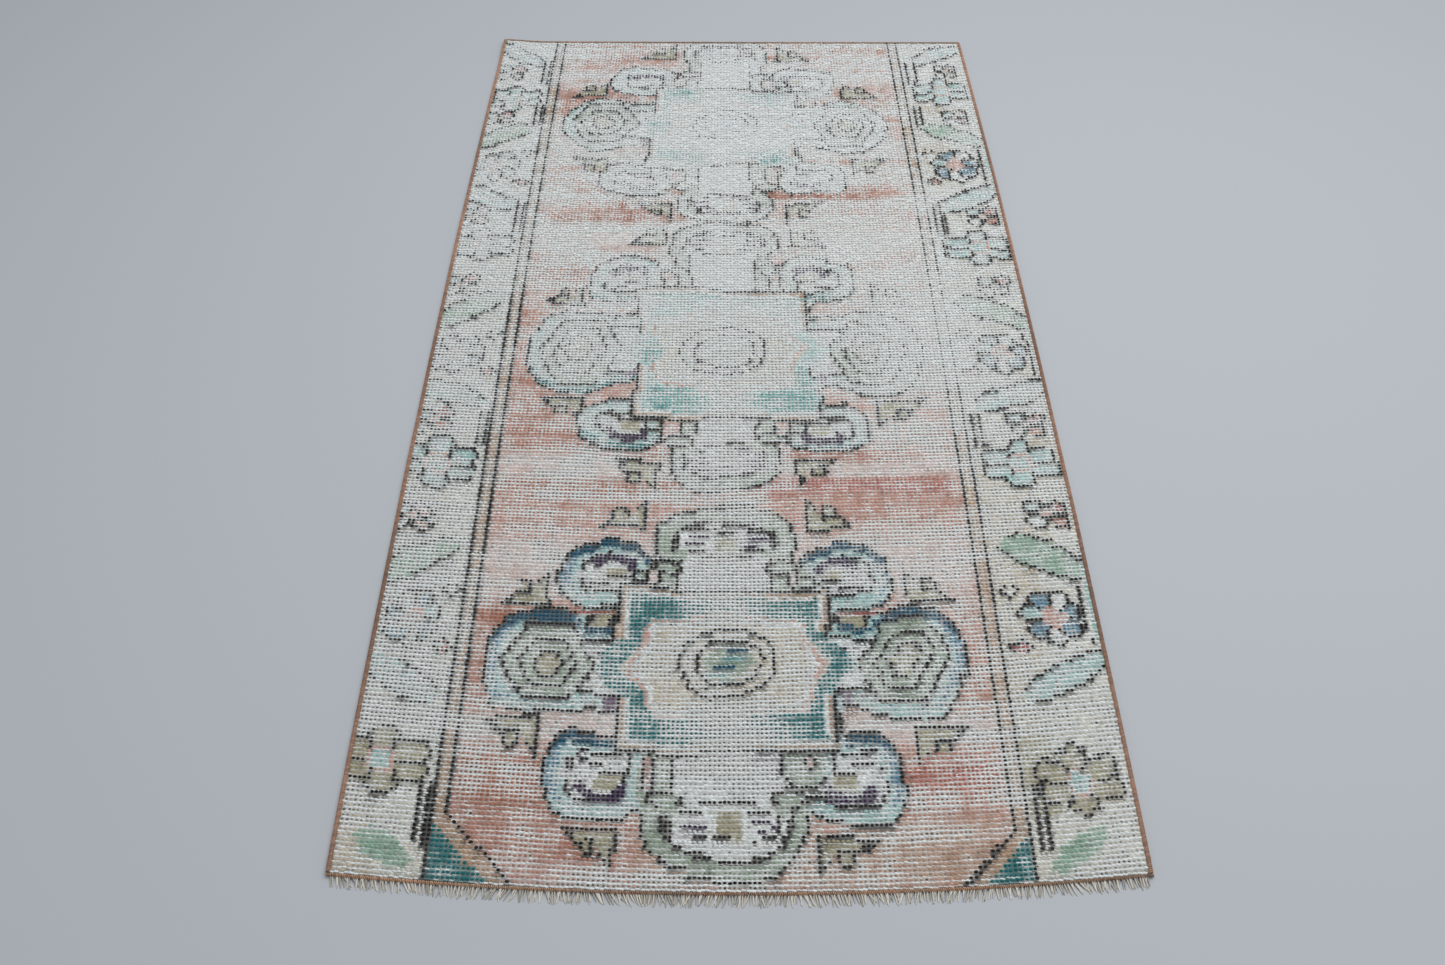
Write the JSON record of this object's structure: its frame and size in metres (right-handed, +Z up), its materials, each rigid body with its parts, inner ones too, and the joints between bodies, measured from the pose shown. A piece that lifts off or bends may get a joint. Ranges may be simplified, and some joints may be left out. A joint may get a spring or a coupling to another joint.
{
  "type": "runner rug",
  "caption": "Small hand-knotted wool runner rug with cartouche medallions, side borders, wrapped selvedges and a short fringe at each end.",
  "frame": {"origin": "centre of the rug's outline, on the floor plane that it lies on", "axes": "+X across the rug, +Y along it from the end with the longer fringe, +Z up through the pile"},
  "size_m": [0.878, 1.7782, 0.006],
  "materials": {
    "ground": "plain-woven undyed cotton and wool, worn",
    "border": "low wool pile, cream and sage, faded",
    "guard": "low wool pile, tan and black-brown lines",
    "field": "low wool pile, madder and salmon, faded in bands",
    "medallion": "low wool pile, ivory, sage, teal and aubergine, worn",
    "spandrel": "low wool pile, teal",
    "core": "twisted undyed cord",
    "wrap": "copper-brown yarn wound close",
    "overcast": "brown stitching over the cut end",
    "fringe": "loose undyed warp ends"
  },
  "bodies": {
    "root": {"ground_weave": "ground", "pile_border_left": "border", "pile_border_right": "border", "pile_guard_left": "guard", "pile_guard_right": "guard", "pile_field": "field", "pile_medallion_near": "medallion", "pile_medallion_middle": "medallion", "pile_medallion_far": "medallion", "pile_spandrel_left": "spandrel", "pile_spandrel_right": "spandrel", "selvedge_core_left": "core", "selvedge_core_right": "core", "selvedge_wrap_left": "wrap", "selvedge_wrap_right": "wrap", "end_overcast_near": "overcast", "end_overcast_far": "overcast", "fringe_near": "fringe", "fringe_far": "fringe"}
  },
  "joints": []
}
